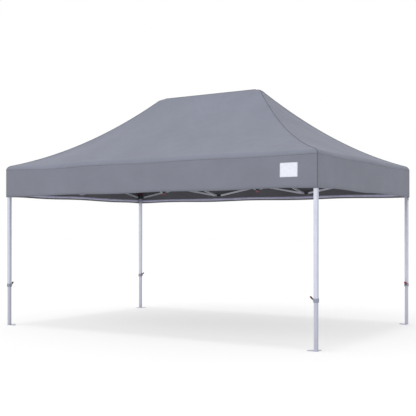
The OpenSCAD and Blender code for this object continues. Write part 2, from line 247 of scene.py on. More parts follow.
def cloth_ease(p, amount):
    """Moves a point of the hanging border outwards, more towards the hem, and lets the hem dip."""
    x, y, z = p
    down = min(max((EAVE_Z - z) / (EAVE_Z - HEM_Z), 0.0), 1.0)
    z -= eave_sag(x, y) * (1 - down)
    tx = (x + LEG_X) / (2 * LEG_X)
    ty = (y + LEG_Y) / (2 * LEG_Y)
    along_front = abs(y) > COVER_Y - CORNER_R * 0.5 and 0 < tx < 1
    along_side = abs(x) > COVER_X - CORNER_R * 0.5 and 0 < ty < 1
    if along_front:
        side = 1.0 if y > 0 else -1.0
        grip = min(1.0, min(tx, 1 - tx) * 14)
        swing = 0.5 + 0.32 * math.sin(7.3 * x + 0.9 * side) + 0.18 * math.sin(16.9 * x + 2.0 + side)
        dip = 0.5 + 0.5 * math.sin(4.23 * x + 1.2 + side)
        out = amount * grip * swing * down ** 1.4
        return Vector((x, y + side * out, z + 0.85 * amount * grip * dip * down ** 3))
    if along_side:
        side = 1.0 if x > 0 else -1.0
        grip = min(1.0, min(ty, 1 - ty) * 9)
        swing = 0.5 + 0.32 * math.sin(8.1 * y + 0.4 * side) + 0.18 * math.sin(19.7 * y + side)
        dip = 0.5 + 0.5 * math.sin(4.2 * y + 0.5 - side)
        out = amount * grip * swing * down ** 1.4
        return Vector((x + side * out, y, z + 0.85 * amount * grip * dip * down ** 3))
    return Vector((x, y, z))


def share(values, v):
    """Linear shares of v between the neighbours in values, which rise."""
    out = [0.0] * len(values)
    v = min(max(v, values[0]), values[-1])
    for i in range(len(values) - 1):
        if v <= values[i + 1]:
            f = (v - values[i]) / (values[i + 1] - values[i])
            out[i], out[i + 1] = 1 - f, f
            return out
    out[-1] = 1.0
    return out


def body_at(i, j, bodies):
    """The body at column i and row j of the frame, out of its upper or its lower ones."""
    leg, joint, mast = bodies
    end = ("left", "left", "right", "right")[i]
    if j == 1:
        return mast + end
    return (leg if i in (0, 3) else joint) + ("front_", "", "back_")[j] + end


def carried_by(x, y, z):
    """Which joints of the frame carry a point of the cover, and by what share.

    The share of the far row or end is what throws the cloth outwards into pleats as the frame
    folds. The share of the lower joints lets the roof come down with the masts.
    """
    wx, wy = share(COLUMNS, x), share(ROWS, y)
    along = wave((x + LEG_X) / (2 * LEG_X), PLEATS_LONG)
    across = wave((y + LEG_Y) / (2 * LEG_Y), PLEATS_SHORT)
    py = THROW_LONG * along
    px = THROW_SHORT * across
    px *= min(max((abs(x) - MAST_X) / (LEG_X - MAST_X), 0.0), 1.0)
    wy = [(1 - py) * a + py * b for a, b in zip(wy, reversed(wy))]
    wx = [(1 - px) * a + px * b for a, b in zip(wx, reversed(wx))]
    ripple = RIPPLE * along * min(abs(y) / LEG_Y, 1)
    ripple += RIPPLE * across * min(max((abs(x) - MAST_X) / 1.5, 0), 1)
    low = min(max((z - LOW_FROM - ripple) / DROP_FULL, 0.0), 0.97)
    out = {}
    for i in range(len(COLUMNS)):
        for j in range(len(ROWS)):
            w = wx[i] * wy[j]
            if w < 1e-5:
                continue
            # the short sides have no mast, so the corners on either hand share what is between them
            cells = [(i, 0, w / 2), (i, 2, w / 2)] if j == 1 and i in (0, 3) else [(i, j, w)]
            for a, b, part in cells:
                for bodies, f in ((UPPER_BODIES, 1 - low), (LOWER_BODIES, low)):
                    body = body_at(a, b, bodies)
                    if body != "mast_guide_left" and part * f > 1e-5:
                        out[body] = out.get(body, 0.0) + part * f
    return out


def hang_on_frame(obj):
    """Rides the cover piece on the left mast guide, and hooks each point to the joints that carry it."""
    groups = {}
    for v in obj.data.vertices:
        for body, w in carried_by(*v.co).items():
            if body not in groups:
                groups[body] = obj.vertex_groups.new(name=body)
            groups[body].add([v.index], w, "REPLACE")
    for body in sorted(groups):
        hook = obj.modifiers.new("Carried by " + body, "HOOK")
        hook.object = frame["bodies"][body]
        hook.vertex_group = body
        hook.falloff_type = "NONE"
    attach(obj, "mast_guide_left")


def piece(name, bm, materials, smooth_angle=35):
    """Makes an object of the mesh, with its materials and shading."""
    mesh = bpy.data.meshes.new(name)
    bm.to_mesh(mesh)
    bm.free()
    for m in materials:
        mesh.materials.append(m)
    mesh.polygons.foreach_set("use_smooth", [True] * len(mesh.polygons))
    mesh.set_sharp_from_angle(angle=math.radians(smooth_angle))
    obj = bpy.data.objects.new(name, mesh)
    bpy.context.scene.collection.objects.link(obj)
    return obj


def thicken(obj, thickness, offset=-1, lined=False):
    """Gives a sheet its thickness, and a lined one its second finish on the inner side."""
    solid = obj.modifiers.new("Thickness", "SOLIDIFY")
    solid.thickness = thickness
    solid.offset = offset
    if lined:
        solid.material_offset = 1
        solid.material_offset_rim = 0


def round_off(bm, geom, radius, segments, affect="EDGES"):
    """Rounds edges or points, and returns the rounded stretches' points."""
    made = bmesh.ops.bevel(bm, geom=geom, offset=radius, offset_type="OFFSET", segments=segments,
                           profile=0.5, affect=affect, material=-1)
    return made["verts"]


def cut(bm, at, normal, geom=None):
    """Cuts faces along a plane, so that they can bend there."""
    bmesh.ops.bisect_plane(bm, geom=geom or [*bm.verts, *bm.edges, *bm.faces], dist=1e-5,
                           plane_co=at, plane_no=normal)


def box_between(lo, hi):
    """A new mesh of the box between two corners."""
    bm = bmesh.new()
    bmesh.ops.create_cube(bm, size=1.0, matrix=Matrix.Translation((lo + hi) / 2)
                          @ Matrix.Diagonal((*(hi - lo), 1)))
    return bm


def cloth_uv(bm, mapping):
    """Writes the cloth map in metres. mapping gives (u, v) for a face's centre and a point."""
    layer = bm.loops.layers.uv.new("cloth")
    for face in bm.faces:
        middle = face.calc_center_median()
        for loop in face.loops:
            loop[layer].uv = mapping(middle, loop.vert.co)


def around(middle, p):
    """Distance round the border's plan, and height above the hem, for a point near a face's middle."""
    if abs(middle.y) / COVER_Y > abs(middle.x) / COVER_X:
        u = p.x + COVER_X if middle.y < 0 else 3 * COVER_X + 2 * COVER_Y - p.x
    else:
        u = 2 * COVER_X + p.y + COVER_Y if middle.x > 0 else 4 * COVER_X + 3 * COVER_Y - p.y
    return u, p.z - HEM_Z


def tube_along(name, points, radius, sides=3):
    """Mesh of a round cord along the points."""
    curve = bpy.data.curves.new(name, "CURVE")
    curve.dimensions = "3D"
    curve.bevel_depth = radius
    curve.bevel_resolution = sides
    curve.use_fill_caps = True
    line = curve.splines.new("POLY")
    line.points.add(len(points) - 1)
    for q, p in zip(line.points, points):
        q.co = (*p, 1)
    holder = bpy.data.objects.new(name, curve)
    mesh = bpy.data.meshes.new_from_object(holder)
    bpy.data.objects.remove(holder)
    bpy.data.curves.remove(curve)
    return mesh


# ---------------------------------------------------------------- materials

class Nodes:
    """A short way to wire one material's nodes."""

    def __init__(self, name, colour, roughness, metallic=0.0, **sockets):
        self.material = bpy.data.materials.new(name)
        self.material.use_nodes = True
        self.material.diffuse_color = (*colour, 1)
        self.tree = self.material.node_tree
        self.shader = self.tree.nodes["Principled BSDF"]
        self.shader.inputs["Base Color"].default_value = (*colour, 1)
        self.shader.inputs["Roughness"].default_value = roughness
        self.shader.inputs["Metallic"].default_value = metallic
        for key, value in sockets.items():
            self.shader.inputs[key.replace("_", " ")].default_value = value

    def add(self, kind, inputs=None, **settings):
        node = self.tree.nodes.new(kind)
        for key, value in settings.items():
            setattr(node, key, value)
        for key, value in (inputs or {}).items():
            self.feed(node.inputs[key], value)
        return node

    def feed(self, socket, value):
        if isinstance(value, bpy.types.NodeSocket):
            self.tree.links.new(value, socket)
        else:
            socket.default_value = value

    def maths(self, operation, a, b=0.0, c=0.0, clamp=False):
        node = self.add("ShaderNodeMath", operation=operation, use_clamp=clamp)
        for socket, value in zip(node.inputs, (a, b, c)):
            self.feed(socket, value)
        return node.outputs[0]

    def noise(self, vector, scale, detail=3.0, roughness=0.55):
        node = self.add("ShaderNodeTexNoise", {"Vector": vector, "Scale": scale, "Detail": detail,
                                               "Roughness": roughness})
        return node.outputs["Fac"]

    def spread(self, value, low, high, to_low=0.0, to_high=1.0):
        node = self.add("ShaderNodeMapRange", {"Value": value, "From Min": low, "From Max": high,
                                               "To Min": to_low, "To Max": to_high})
        return node.outputs["Result"]

    def mix(self, factor, a, b, blend="MIX"):
        node = self.add("ShaderNodeMix", data_type="RGBA", blend_type=blend)
        for socket, value in ((node.inputs[0], factor), (node.inputs[6], a), (node.inputs[7], b)):
            if isinstance(value, tuple) and len(value) == 3:
                value = (*value, 1)
            self.feed(socket, value)
        return node.outputs[2]

    def bump(self, height, distance, strength=1.0, below=None):
        node = self.add("ShaderNodeBump", {"Height": height, "Distance": distance, "Strength": strength})
        if below is not None:
            self.feed(node.inputs["Normal"], below)
        return node.outputs["Normal"]

    def place(self, scale=(1, 1, 1)):
        coords = self.add("ShaderNodeTexCoord")
        return self.add("ShaderNodeMapping", {"Vector": coords.outputs["Object"], "Scale": scale}).outputs[0]

    def cloth(self):
        uv = self.add("ShaderNodeUVMap", uv_map="cloth")
        return uv.outputs[0], self.add("ShaderNodeSeparateXYZ", {"Vector": uv.outputs[0]})

    def done(self, colour=None, roughness=None, normal=None):
        if colour is not None:
            self.feed(self.shader.inputs["Base Color"], colour)
        if roughness is not None:
            self.feed(self.shader.inputs["Roughness"], roughness)
        if normal is not None:
            self.feed(self.shader.inputs["Normal"], normal)
        return self.material


def darker(colour, f):
    return tuple(c * f for c in colour)


def stitches(n, u, v, rows, pitch=0.0042, thread=0.0005):
    """1 on the threads of the rows of stitching at the heights in rows, and 0 elsewhere."""
    total = None
    dash = n.maths("LESS_THAN", n.maths("FRACT", n.maths("DIVIDE", u, pitch)), 0.68)
    for height in rows:
        near = n.maths("LESS_THAN", n.maths("ABSOLUTE", n.maths("SUBTRACT", v, height)), thread)
        line = n.maths("MULTIPLY", near, dash)
        total = line if total is None else n.maths("MAXIMUM", total, line)
    return total


def seam_groove(n, v, rows, width=0.004):
    """A soft groove, 0 to 1, along each row: it shapes the bump and sets the painted shade along the seam.
    """
    total = None
    for height in rows:
        d = n.maths("ABSOLUTE", n.maths("SUBTRACT", v, height))
        g = n.spread(d, 0.0, width, 1.0, 0.0)
        total = g if total is None else n.maths("MAXIMUM", total, g)
    return total


def woven(name, colour, rows=(), hem=0.0, rough=0.78):
    """Coated plain-weave cloth, with its threads, a soft mottle, creases, and rows of stitching with painted
    shade in their grooves.
    """
    n = Nodes(name, colour, rough, Sheen_Weight=0.06, Sheen_Roughness=0.45, Specular_IOR_Level=0.16)
    uv, parts = n.cloth()
    u, v = parts.outputs[0], parts.outputs[1]
    warp = n.maths("SINE", n.maths("MULTIPLY", u, 2 * math.pi / THREAD_PITCH))
    weft = n.maths("SINE", n.maths("MULTIPLY", v, 2 * math.pi / THREAD_PITCH))
    weave = n.maths("MULTIPLY_ADD", n.maths("MULTIPLY", warp, weft), 0.5, 0.5)
    slub = n.noise(n.add("ShaderNodeMapping", {"Vector": uv, "Scale": (900, 60, 1)}).outputs[0], 1.0, 2.0)
    cloud = n.noise(uv, 1.7, 4.0)
    grime = n.noise(uv, 9.0, 5.0, 0.65)
    tone = n.mix(n.spread(cloud, 0.35, 0.65), darker(colour, 0.955), darker(colour, 1.04))
    tone = n.mix(n.maths("MULTIPLY", n.spread(grime, 0.45, 0.75), 0.10), tone, darker(colour, 0.82))
    tone = n.mix(n.maths("MULTIPLY", weave, 0.12), tone, darker(colour, 0.72))
    stretched = n.add("ShaderNodeMapping", {"Vector": uv, "Scale": (1.0, 2.6, 1)})
    creases = n.noise(stretched.outputs[0], 3.1, 3.0)
    normal = n.bump(creases, 0.012, 0.35)
    normal = n.bump(n.maths("ADD", weave, n.maths("MULTIPLY", slub, 0.6)), 0.00025, 0.55, normal)
    if rows:
        thread = stitches(n, u, v, rows)
        groove = seam_groove(n, v, rows)
        # painted shade: the cloth is darkened along each seam's groove, where shade would fall
        tone = n.mix(n.maths("MULTIPLY", groove, 0.30), tone, darker(colour, 0.55))
        tone = n.mix(thread, tone, darker(colour, 1.45))
        normal = n.bump(n.maths("SUBTRACT", thread, groove), 0.0009, 0.8, normal)
    if hem:
        fold = n.spread(n.maths("SUBTRACT", v, hem), -0.0012, 0.0012)
        tone = n.mix(n.maths("MULTIPLY", n.maths("SUBTRACT", 1.0, fold), 0.10), tone, darker(colour, 0.75))
        normal = n.bump(fold, -0.0012, 0.9, normal)
    rough_map = n.spread(grime, 0.2, 0.8, rough - 0.07, rough + 0.08)
    return n.done(tone, rough_map, normal)


def coated_side(name, colour):
    """The smoother coated inner side of the cloth."""
    n = Nodes(name, colour, 0.55, Specular_IOR_Level=0.4)
    uv = n.cloth()[0]
    cloud = n.noise(uv, 2.3, 4.0)
    fine = n.noise(uv, 420.0, 2.0)
    tone = n.mix(n.spread(cloud, 0.35, 0.65), darker(colour, 0.92), darker(colour, 1.08))
    normal = n.bump(n.noise(uv, 3.4, 3.0), 0.012, 0.35)
    normal = n.bump(fine, 0.0002, 0.5, normal)
    return n.done(tone, n.spread(fine, 0.3, 0.7, 0.48, 0.64), normal)


def ribbed_tape(name, colour, rough=0.6):
    """Woven tape or piping, with fine ribs."""
    n = Nodes(name, colour, rough, Sheen_Weight=0.12, Sheen_Roughness=0.4)
    place = n.place()
    ribs = n.add("ShaderNodeTexWave", {"Vector": place, "Scale": 210.0, "Distortion": 0.6},
                 wave_type="BANDS", bands_direction="DIAGONAL")
    cloud = n.noise(place, 7.0, 3.0)
    tone = n.mix(n.spread(cloud, 0.35, 0.65), darker(colour, 0.9), darker(colour, 1.08))
    tone = n.mix(n.maths("MULTIPLY", ribs.outputs["Fac"], 0.2), tone, darker(colour, 0.7))
    return n.done(tone, None, n.bump(ribs.outputs["Fac"], 0.0004, 0.5))


def coated_metal(name, colour, metallic, rough, streak=(18, 18, 1.1)):
    """Painted or anodised tube with faint draw lines, handling marks and worn edges."""
    n = Nodes(name, colour, rough, metallic, Coat_Weight=0.15, Coat_Roughness=0.3)
    lines = n.noise(n.place(tuple(9 * s for s in streak)), 1.0, 3.0)
    marks = n.noise(n.place(), 11.0, 6.0, 0.7)
    specks = n.noise(n.place(), 85.0, 2.0)
    geometry = n.add("ShaderNodeNewGeometry")
    edge = n.spread(geometry.outputs["Pointiness"], 0.52, 0.60)
    tone = n.mix(n.spread(lines, 0.3, 0.7), darker(colour, 0.95), darker(colour, 1.04))
    tone = n.mix(n.maths("MULTIPLY", n.spread(marks, 0.56, 0.75), 0.22), tone, darker(colour, 0.7))
    tone = n.mix(n.maths("MULTIPLY", edge, 0.35), tone, tuple(min(1.0, c * 1.35) for c in colour))
    rough_map = n.spread(marks, 0.25, 0.75, rough - 0.06, rough + 0.12)
    relief = n.maths("ADD", lines, n.maths("MULTIPLY", specks, 0.5))
    return n.done(tone, rough_map, n.bump(relief, 0.0002, 0.35))


def moulded(name, colour, rough=0.42, grain=0.35):
    """Moulded plastic with a fine grain and scuffs that lighten it."""
    n = Nodes(name, colour, rough, Specular_IOR_Level=0.45)
    place = n.place()
    fine = n.noise(place, 900.0, 2.0)
    scuff = n.noise(place, 38.0, 6.0, 0.72)
    soft = n.noise(place, 9.0, 2.0)
    lighter = tuple(min(1.0, c * 1.5 + 0.02) for c in colour)
    tone = n.mix(n.spread(soft, 0.3, 0.7), darker(colour, 0.9), darker(colour, 1.12))
    tone = n.mix(n.maths("MULTIPLY", n.spread(scuff, 0.58, 0.74), 0.35), tone, lighter)
    return n.done(tone, n.spread(scuff, 0.3, 0.75, rough - 0.05, rough + 0.16), n.bump(fine, 0.00015, grain))


def bright_steel(name):
    """Plated pins and rivet heads."""
    n = Nodes(name, (0.55, 0.56, 0.60), 0.30, 1.0)
    marks = n.noise(n.place(), 160.0, 5.0, 0.7)
    tone = n.mix(n.spread(marks, 0.4, 0.7), (0.60, 0.61, 0.65), (0.40, 0.40, 0.43))
    return n.done(tone, n.spread(marks, 0.3, 0.7, 0.24, 0.42), n.bump(marks, 0.0001, 0.3))


_made = {}
SURFACE = {}  # the roof's faces, once it is made, which the seams lie on


def material(key):
    """The finishes, each made once."""
    if key in _made:
        return _made[key]
    cover, metal = bpy.context.scene.canopy_cover, bpy.context.scene.canopy_frame
    t = tuple
    makers = {
        "roof": lambda: woven("Roof cloth", t(cover.roof_colour)),
        "valance": lambda: woven("Valance cloth", t(cover.valance_colour), (0.0335, 0.0375, 0.3635), 0.040),
        "lining": lambda: coated_side("Coated inner side", t(cover.lining_colour)),
        "tape": lambda: ribbed_tape("Hem tape", t(cover.tape_colour)),
        "piping": lambda: ribbed_tape("Piping", t(cover.piping_colour), 0.7),
        "seam": lambda: ribbed_tape("Bound seam", darker(t(cover.valance_colour), 0.62), 0.75),
        "outer": lambda: coated_metal("Outer leg coat", t(metal.outer_metal), 0.55, 0.38),
        "inner": lambda: coated_metal("Inner leg coat", t(metal.inner_metal), 0.55, 0.34),
        "bar_x": lambda: coated_metal("Bar coat along X", t(metal.bar_metal), 0.6, 0.36, (1.1, 18, 18)),
        "bar_y": lambda: coated_metal("Bar coat along Y", t(metal.bar_metal), 0.6, 0.36, (18, 1.1, 18)),
        "mast": lambda: coated_metal("Mast coat", t(metal.bar_metal), 0.6, 0.36),
        "dark": lambda: moulded("Dark moulded plastic", t(metal.dark_plastic)),
        "collar": lambda: moulded("Collar plastic", t(metal.collar_plastic), 0.48),
        "red": lambda: moulded("Red moulded plastic", t(metal.red_plastic), 0.36, 0.2),
        "steel": lambda: bright_steel("Plated steel"),
    }
    _made[key] = makers[key]()
    return _made[key]


# ---------------------------------------------------------------- cover

class CANOPY_OT_roof(bpy.types.Operator):
    """Roof cloth: one sheet over both masts, with four hips and a ridge"""
    bl_idname = "canopy.roof"
    bl_label = "Roof"

    eave_rows = (0.0012, 0.0045, 0.0100, 0.0180, 0.0300, 0.0480)  # rows that round the edge
    peak_reach = 0.045  # how far from each end of the ridge the cloth is smoothed

    def execute(self, context):
        s = context.scene.canopy_cover
        nx, ny = 2 * round(COVER_X / s.mesh_step), 2 * round(COVER_Y / s.mesh_step)
        bm = bmesh.new()
        bmesh.ops.create_grid(bm, x_segments=nx, y_segments=ny, size=1.0,
                              matrix=Matrix.Diagonal((COVER_X, COVER_Y, 1, 1)))
        corners = [v for v in bm.verts
                   if abs(v.co.x) > COVER_X - 1e-5 and abs(v.co.y) > COVER_Y - 1e-5]
        round_off(bm, corners, CORNER_R, 5, "VERTICES")
        for sx in (-1, 1):
            for sy in (-1, 1):
                hip = Vector((sx * (COVER_X - PEAK_X), sy * COVER_Y, 0))
                middles = ((f, f.calc_center_median()) for f in bm.faces)
                faces = [f for f, c in middles if c.x * sx > PEAK_X - 0.05 and c.y * sy > -0.05]
                cut(bm, (sx * PEAK_X, 0, 0), Vector((-hip.y, hip.x, 0)).normalized(),
                    list({g for f in faces for g in (*f.verts, *f.edges, f)}))
            cut(bm, (sx * PEAK_X, 0, 0), (1, 0, 0))
            for inset in self.eave_rows:
                cut(bm, (sx * (COVER_X - inset), 0, 0), (1, 0, 0))
                cut(bm, (0, sx * (COVER_Y - inset), 0), (0, 1, 0))
        for v in bm.verts:
            v.co.z = roof_height(v.co.x, v.co.y) + s.wrinkle * roof_wrinkle(v.co.x, v.co.y)
        peaks = [v for v in bm.verts
                 if math.hypot(abs(v.co.x) - PEAK_X + 0.01, v.co.y) < self.peak_reach]
        for _ in range(2):
            bmesh.ops.smooth_vert(bm, verts=peaks, factor=0.5, use_axis_x=False, use_axis_y=False,
                                  use_axis_z=True)
        for v in bm.verts:  # the cloth lies on the masts' ends, and doesn't sink into them
            beside = max(abs(abs(v.co.x) - MAST_X), abs(v.co.y)) - MAST_HALF
            if beside < 0.04:
                v.co.z = max(v.co.z, MAST_TOP + 0.003 - 0.8 * max(beside, 0.0))
        bm.faces.ensure_lookup_table()
        SURFACE["roof"] = BVHTree.FromBMesh(bm)
        cloth_uv(bm, lambda middle, p: (p.x, p.y))
        roof = piece("roof_cloth", bm, [material("roof"), material("lining")], 30)
        hang_on_frame(roof)
        thicken(roof, s.cloth_thickness, lined=True)
        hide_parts("canopy_roof")
        return {"FINISHED"}


def border_shell(z0, z1, out, step, rise):
    """An open band round the cover's plan from z0 to z1, out beyond the cover's sides."""
    hx, hy = COVER_X + out, COVER_Y + out
    bm = bmesh.new()
    bmesh.ops.create_cube(bm, size=1.0, matrix=Matrix.Translation((0, 0, (z0 + z1) / 2))
                          @ Matrix.Diagonal((2 * hx, 2 * hy, z1 - z0, 1)))
    bmesh.ops.delete(bm, geom=[f for f in bm.faces if abs(f.normal.z) > 0.5], context="FACES_ONLY")
    upright = [e for e in bm.edges if abs(e.verts[0].co.z - e.verts[1].co.z) > 1e-4]
    round_off(bm, upright, CORNER_R + out, 6)
    long_x = [e for e in bm.edges if abs(e.verts[0].co.x - e.verts[1].co.x) > COVER_X]
    bmesh.ops.subdivide_edges(bm, edges=long_x, cuts=round(2 * COVER_X / step), use_grid_fill=True)
    long_y = [e for e in bm.edges if abs(e.verts[0].co.y - e.verts[1].co.y) > COVER_Y]
    bmesh.ops.subdivide_edges(bm, edges=long_y, cuts=round(2 * COVER_Y / step), use_grid_fill=True)
    upright = [e for e in bm.edges if abs(e.verts[0].co.z - e.verts[1].co.z) > 1e-4]
    cuts = max(0, round((z1 - z0) / rise) - 1)
    if cuts:
        bmesh.ops.subdivide_edges(bm, edges=upright, cuts=cuts, use_grid_fill=True)
    return bm


class CANOPY_OT_valance(bpy.types.Operator):
    """Valance: the border that hangs from the eave, with a doubled and stitched hem"""
    bl_idname = "canopy.valance"
    bl_label = "Valance"

    def execute(self, context):
        s = context.scene.canopy_cover
        bm = border_shell(HEM_Z, EAVE_Z - 0.0004, 0.0, s.mesh_step, 0.030)
        for v in bm.verts:
            v.co = cloth_ease(v.co, s.hem_wave)
        cloth_uv(bm, around)
        finishes = [material("valance"), material("lining")]
        valance = piece("valance_cloth", bm, finishes, 40)
        hang_on_frame(valance)
        thicken(valance, s.cloth_thickness, lined=True)
        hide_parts("canopy_valance")
        return {"FINISHED"}


class CANOPY_OT_hem_tape(bpy.types.Operator):
    """Tape sewn inside the hem, set just inside the valance cloth"""
    bl_idname = "canopy.hem_tape"
    bl_label = "Hem tape"

    def execute(self, context):
        s = context.scene.canopy_cover
        inset = s.cloth_thickness + 0.0012
        bm = border_shell(HEM_Z + 0.021, HEM_Z + 0.056, 0.0, s.mesh_step, 0.0175)
        for v in bm.verts:
            side = cloth_ease(v.co, s.hem_wave)
            x, y = v.co.xy
            on_x, on_y = abs(x) > COVER_X - 1e-4, abs(y) > COVER_Y - 1e-4
            if on_x or on_y:
                inward = Vector((-x if on_x else 0, -y if on_y else 0, 0))
            else:  # on a rounded corner
                inward = Vector((math.copysign(1, -x), math.copysign(1, -y), 0))
            v.co = side + inward.normalized() * inset
        cloth_uv(bm, around)
        tape = piece("hem_tape", bm, [material("tape")], 40)
        hang_on_frame(tape)
        thicken(tape, 0.0010)
        return {"FINISHED"}


def seam_piece(name, paths, radius, finish):
    """One object of cords along several paths of the cover."""
    bm = bmesh.new()
    for points in paths:
        mesh = tube_along("seam", points, radius)
        bm.from_mesh(mesh)
        bpy.data.meshes.remove(mesh)
    bmesh.ops.recalc_face_normals(bm, faces=bm.faces)
    hang_on_frame(piece(name, bm, [material(finish)], 60))


def on_roof(x, y, lift=0.0):
    """The point of the roof cloth above a point of the plan."""
    hit = SURFACE["roof"].ray_cast(Vector((x, y, 5)), Vector((0, 0, -1)))[0]
    return (x, y, (hit.z if hit else roof_height(x, y)) + lift)


def hip_path(sx, sy, steps=70):
    """The line of a hip from its corner to its peak."""
    inset = 0.0075  # of the corner end, inside the rounded edge
    points = []
    for k in range(steps + 1):
        t = (k / steps) ** 1.25
        x = sx * (COVER_X - inset - t * (COVER_X - inset - PEAK_X))
        y = sy * (COVER_Y - inset) * (1 - t)
        points.append(on_roof(x, y, 0.0003))
    return points


class CANOPY_OT_seams(bpy.types.Operator):
    """Bound seams on the hips, the ridge, the upright corners and the eave"""
    bl_idname = "canopy.seams"
    bl_label = "Seams"

    def execute(self, context):
        s = context.scene.canopy_cover
        ends = [(sx, sy) for sx in (-1, 1) for sy in (-1, 1)]
        seam_piece("hip_piping", [hip_path(sx, sy) for sx, sy in ends], s.piping_radius, "piping")
        ridge = [on_roof(x * PEAK_X / 40, 0, 0.0002) for x in range(-40, 41)]
        seam_piece("ridge_piping", [ridge], s.piping_radius * 0.7, "piping")
        uprights = []
        inset, top = 0.0062, EAVE_Z + 0.006
        for sx, sy in ends:
            x, y = sx * (COVER_X - inset), sy * (COVER_Y - inset)
            uprights.append([(x, y, top - k * (top - HEM_Z) / 14) for k in range(15)])
        seam_piece("corner_piping", uprights, s.piping_radius, "piping")
        bm = border_shell(EAVE_Z - 0.0150, EAVE_Z - 0.0030, 0.0003, s.mesh_step, 0.006)
        for v in bm.verts:
            v.co = cloth_ease(v.co, s.hem_wave)
        cloth_uv(bm, around)
        eave = piece("eave_seam", bm, [material("valance")], 60)
        hang_on_frame(eave)
        thicken(eave, 0.0006, offset=1)
        return {"FINISHED"}


class CANOPY_OT_patch(bpy.types.Operator):
    """Plain sewn patch on the front of the valance"""
    bl_idname = "canopy.patch"
    bl_label = "Sewn patch"

    def execute(self, context):
        s = context.scene.canopy_cover
        lo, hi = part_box("sewn_patch")
        bm = box_between(lo, hi)
        middle = (lo + hi) / 2
        upright = [e for e in bm.edges if abs(e.verts[0].co.y - e.verts[1].co.y) > 1e-4]
        round_off(bm, upright, 0.006, 4)
        for k in range(1, 12):
            cut(bm, (lo.x + (hi.x - lo.x) * k / 12, 0, 0), (1, 0, 0))
        for k in range(1, 8):
            cut(bm, (0, 0, lo.z + (hi.z - lo.z) * k / 8), (0, 0, 1))
        cloth_uv(bm, lambda _, p: (p.x - middle.x, p.z - middle.z))
        for v in bm.verts:
            eased = cloth_ease((v.co.x, -COVER_Y, v.co.z), s.hem_wave)
            v.co.y += eased.y + COVER_Y
        cloth = self.cloth((hi.x - lo.x) / 2, (hi.z - lo.z) / 2)
        patch = piece("sewn_label", bm, [cloth], 40)
        hang_on_frame(patch)
        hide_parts("sewn_patch")
        return {"FINISHED"}

    def cloth(self, half_width, half_height):
        """Pale cloth with a row of stitching set in from the patch's edge, and painted shade in the row's
        groove.
        """
        n = Nodes("Patch cloth", (0.56, 0.57, 0.64), 0.62, Sheen_Weight=0.1)
        uv, parts = n.cloth()
        u, v = n.maths("ABSOLUTE", parts.outputs[0]), n.maths("ABSOLUTE", parts.outputs[1])
        past_side, past_end = n.maths("SUBTRACT", u, half_width), n.maths("SUBTRACT", v, half_height)
        from_row = n.maths("ABSOLUTE", n.maths("ADD", n.maths("MAXIMUM", past_side, past_end), 0.0055))
        run = n.maths("ADD", parts.outputs[0], parts.outputs[1])
        dash = n.maths("LESS_THAN", n.maths("FRACT", n.maths("DIVIDE", run, 0.0045)), 0.66)
        thread = n.maths("MULTIPLY", dash, n.maths("LESS_THAN", from_row, 0.0006))
        groove = n.spread(from_row, 0.0, 0.003, 1.0, 0.0)
        mark = n.noise(uv, 30.0, 4.0)
        tone = n.mix(n.spread(mark, 0.35, 0.65), (0.54, 0.55, 0.62), (0.60, 0.61, 0.68))
        # painted shade: the cloth is darkened along the stitched row's groove
        tone = n.mix(n.maths("MULTIPLY", groove, 0.25), tone, (0.30, 0.31, 0.36))
        tone = n.mix(thread, tone, (0.36, 0.37, 0.42))
        weave = n.add("ShaderNodeTexWave", {"Vector": uv, "Scale": 380.0}, wave_type="BANDS",
                      bands_direction="X")
        normal = n.bump(weave.outputs["Fac"], 0.0002, 0.4)
        return n.done(tone, None, n.bump(n.maths("SUBTRACT", thread, groove), 0.0008, 0.8, normal))


class CANOPY_OT_strap(bpy.types.Operator):
    """Webbing strap that hangs from the right back corner's hem"""
    bl_idname = "canopy.strap"
    bl_label = "Corner strap"

    def execute(self, context):
        lo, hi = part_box("corner_strap")
        bm = box_between(lo, hi)
        round_off(bm, list(bm.edges), 0.0004, 2)
        for k in range(1, 14):
            cut(bm, (0, 0, lo.z + (hi.z - lo.z) * k / 14), (0, 0, 1))
        for v in bm.verts:
            down = min(max((HEM_Z + 0.01 - v.co.z) / 0.05, 0), 1)
            v.co.x += 0.004 * down * down
            v.co.y += 0.003 * math.sin(3 * down)
        strap = piece("corner_webbing", bm, [material("piping")], 40)
        hang_on_frame(strap)
        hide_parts("corner_strap")
        return {"FINISHED"}


# ---------------------------------------------------------------- fittings

def settle(bm, verts, matrix, index):
    """Moves the whole part that the points belong to into place, and gives it its finish."""
    part, todo = set(verts), list(verts)
    while todo:
        for e in todo.pop().link_edges:
            for w in e.verts:
                if w not in part:
                    part.add(w)
                    todo.append(w)
    bmesh.ops.transform(bm, matrix=matrix, verts=list(part))
    for f in {f for v in part for f in v.link_faces}:
        f.material_index = index


def add_block(bm, size, at, radius, turn, index=0, segments=3):
    """A rounded block of the given size, turned and then moved into place."""
    verts = bmesh.ops.create_cube(bm, size=1.0, matrix=Matrix.Diagonal((*size, 1)))["verts"]
    edges = list({e for v in verts for e in v.link_edges})
    settle(bm, round_off(bm, edges, radius, segments), Matrix.Translation(at) @ turn, index)


def add_drum(bm, radius, depth, turn):
    """A short cylinder with rounded rims at the origin; turn sends its axis from Z to where it lies."""
    verts = bmesh.ops.create_cone(bm, cap_ends=True, segments=28, radius1=radius, radius2=radius,
                                  depth=depth)["verts"]
    rims = [e for e in {e for v in verts for e in v.link_edges}
            if abs(e.verts[0].co.z - e.verts[1].co.z) < 1e-6 and len(e.link_faces) == 2]
    settle(bm, round_off(bm, rims, 0.0006, 2), turn, 0)


def beside_leg(name, out, z):
    """The place on a leg's lever side, out from its middle: X points away from the leg, and Z up."""
    sx, sy, dx, dy = CORNERS[name]
    at = (sx * LEG_X + dx * out, sy * LEG_Y + dy * out, z)
    return Matrix.Translation(at) @ Matrix.Rotation(math.atan2(dy, dx), 4, "Z")


